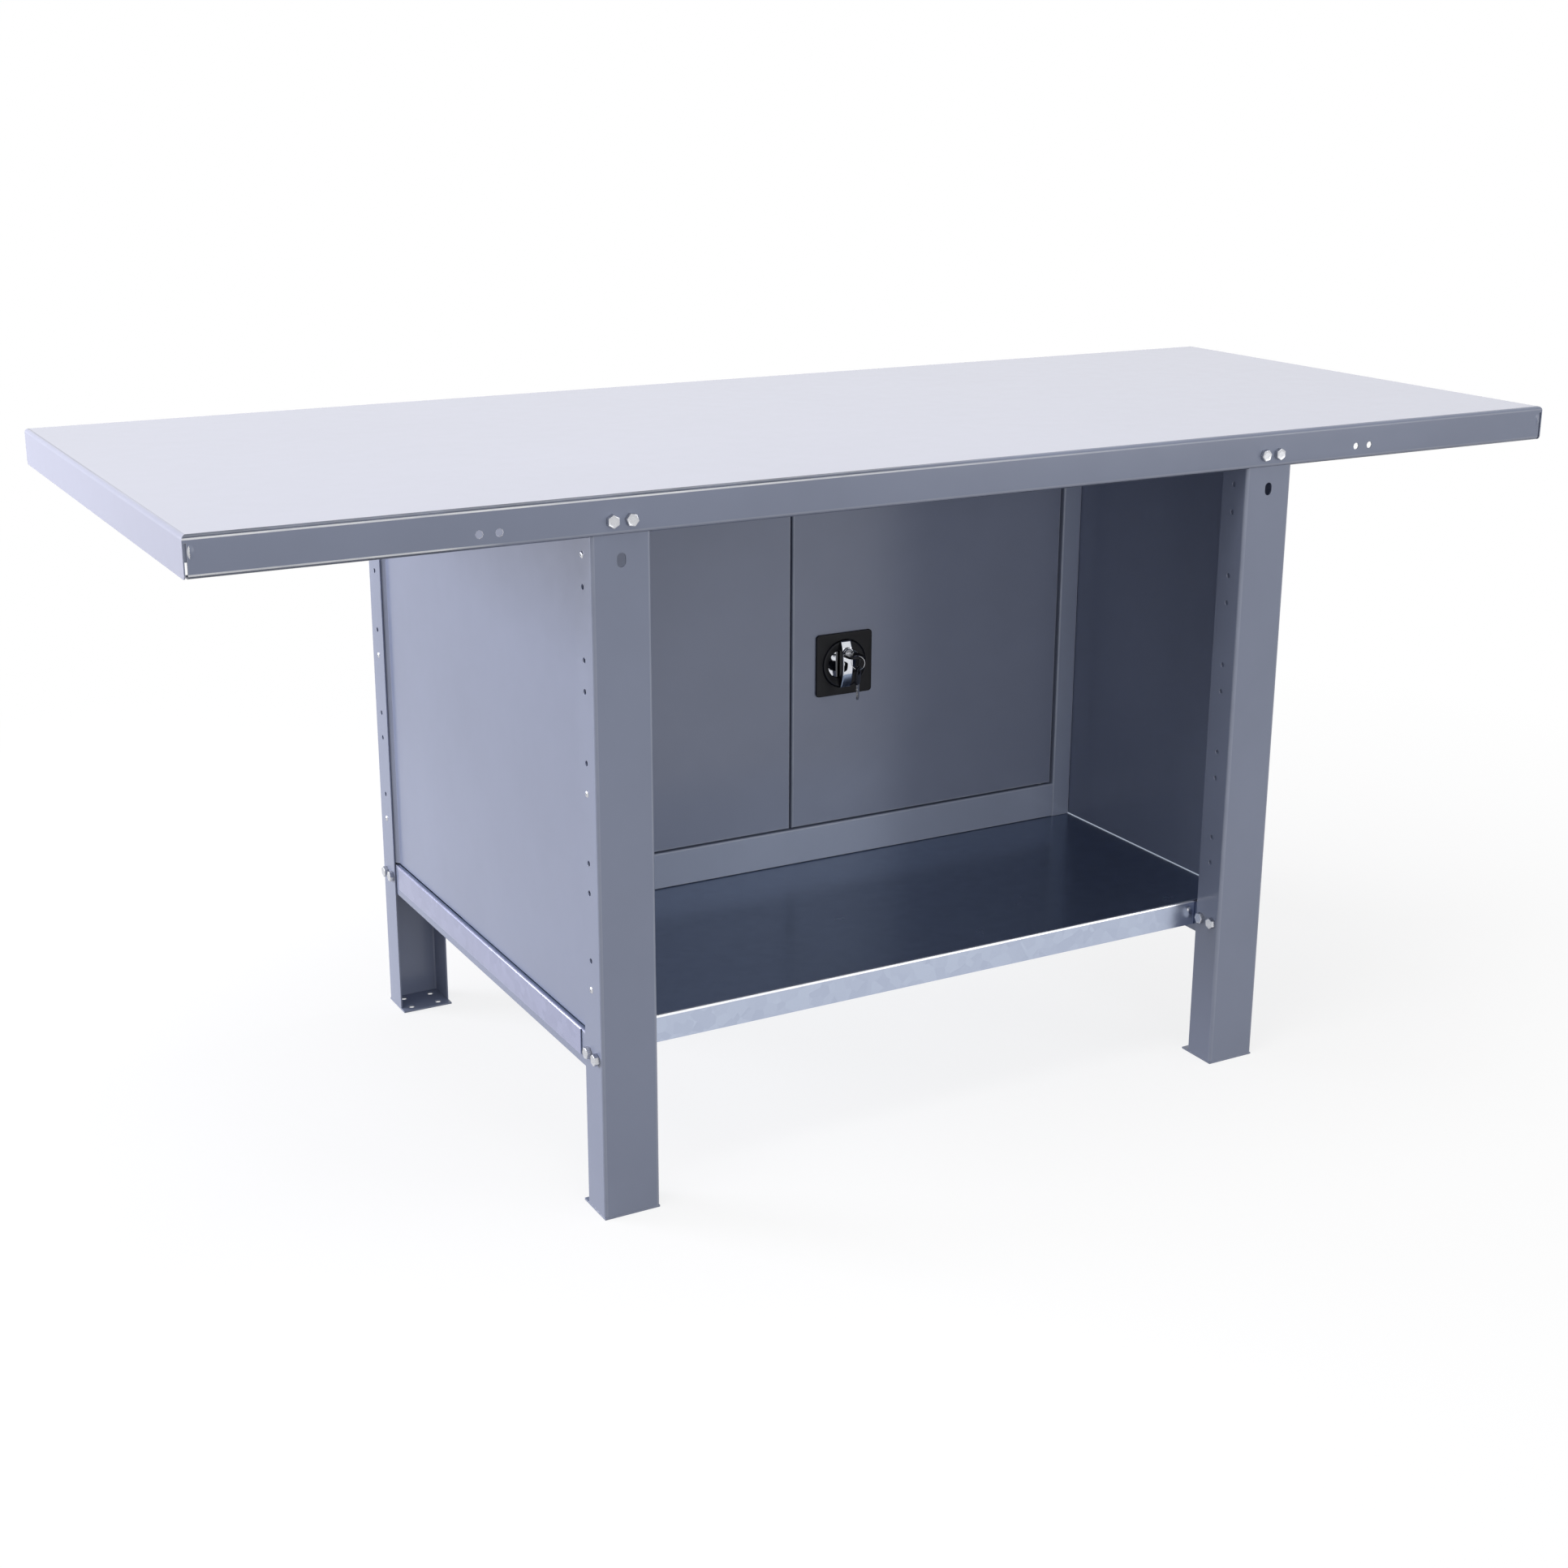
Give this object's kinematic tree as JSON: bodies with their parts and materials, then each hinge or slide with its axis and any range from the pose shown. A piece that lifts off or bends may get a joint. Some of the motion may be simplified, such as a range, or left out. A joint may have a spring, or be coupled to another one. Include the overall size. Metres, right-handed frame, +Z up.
{
  "type": "workbench with cabinet doors",
  "caption": "Folded-steel workbench with channel legs, an open front bay over a galvanised shelf, and a recessed lockable cabinet with two hinged doors.",
  "frame": {"origin": "on the floor under the middle of the top", "axes": "+X along the bench to its right, +Y to the back, +Z up"},
  "size_m": [1.8, 0.7412, 0.84],
  "materials": {
    "paint": "semi-gloss blue-grey powder coat",
    "galvanised": "galvanised sheet",
    "zinc": "bright zinc plate",
    "chrome": "polished chrome",
    "black_plastic": "satin black",
    "steel": "plain steel"
  },
  "bodies": {
    "bench": {"apron_bolt_front_left_1": "zinc", "apron_bolt_front_left_2": "zinc", "apron_bolt_front_right_1": "zinc", "apron_bolt_front_right_2": "zinc", "apron_bolt_rear_left_1": "zinc", "apron_bolt_rear_left_2": "zinc", "apron_bolt_rear_right_1": "zinc", "apron_bolt_rear_right_2": "zinc", "back_panel": "paint", "cabinet_base_rail": "paint", "cabinet_post_left": "paint", "cabinet_post_right": "paint", "cabinet_top_rail": "paint", "cross_rail_left": "paint", "cross_rail_right": "paint", "foot_plate_front_left": "paint", "foot_plate_front_right": "paint", "foot_plate_rear_left": "paint", "foot_plate_rear_right": "paint", "hinge_pin_left_lower": "steel", "hinge_pin_left_upper": "steel", "hinge_pin_right_lower": "steel", "hinge_pin_right_upper": "steel", "leg_front_left": "paint", "leg_front_right": "paint", "leg_rear_left": "paint", "leg_rear_right": "paint", "rail_bolt_front_left_1": "zinc", "rail_bolt_front_left_2": "zinc", "rail_bolt_front_right_1": "zinc", "rail_bolt_front_right_2": "zinc", "rail_bolt_rear_left_1": "zinc", "rail_bolt_rear_left_2": "zinc", "rail_bolt_rear_right_1": "zinc", "rail_bolt_rear_right_2": "zinc", "shelf": "galvanised", "side_panel_left": "paint", "side_panel_right": "paint", "top_stiffener_left": "paint", "top_stiffener_right": "paint", "worktop": "paint"},
    "left_door": {"door_left": "paint"},
    "right_door": {"door_right": "paint", "lock_plate": "black_plastic"},
    "handle": {"lock_rotor": "black_plastic", "lock_boss": "chrome", "lock_handle": "chrome", "lock_cam": "steel"},
    "key": {"lock_cylinder": "chrome", "key": "black_plastic"},
    "key_bunch": {"key_ring": "steel", "spare_key": "black_plastic"},
    "upper_rod": {"lock_rod_upper": "steel"},
    "lower_rod": {"lock_rod_lower": "steel"}
  },
  "joints": [
    {"name": "left_door_hinge", "type": "hinge", "parent": "bench", "child": "left_door", "pos_m": [-0.42, 0.065, 0.519], "axis": [0, 0, -1], "range_deg": [0, 84]},
    {"name": "right_door_hinge", "type": "hinge", "parent": "bench", "child": "right_door", "pos_m": [0.42, 0.065, 0.519], "axis": [0, 0, 1], "range_deg": [0, 84]},
    {"name": "handle_turn", "type": "hinge", "parent": "right_door", "child": "handle", "pos_m": [0.08, 0.055, 0.494], "axis": [0, 1, 0], "range_deg": [0, 90]},
    {"name": "key_turn", "type": "hinge", "parent": "handle", "child": "key", "pos_m": [0.08, 0.045, 0.51], "axis": [0, 1, 0], "range_deg": [0, 90]},
    {"name": "key_ring_swivel", "type": "hinge", "parent": "key", "child": "key_bunch", "pos_m": [0.08, 0.0158, 0.51], "axis": [0, 0, 1], "range_deg": [-90, 0]},
    {"name": "upper_rod_slide", "type": "slide", "parent": "right_door", "child": "upper_rod", "axis": [0, 0, 1], "range_m": [0, 0.0091]},
    {"name": "lower_rod_slide", "type": "slide", "parent": "right_door", "child": "lower_rod", "axis": [0, 0, -1], "range_m": [0, 0.0091]}
  ],
  "couplings": [
    {"joint": "upper_rod_slide", "follows": "handle_turn", "m_per_rad": 0.0057296},
    {"joint": "lower_rod_slide", "follows": "handle_turn", "m_per_rad": 0.0057296}
  ]
}
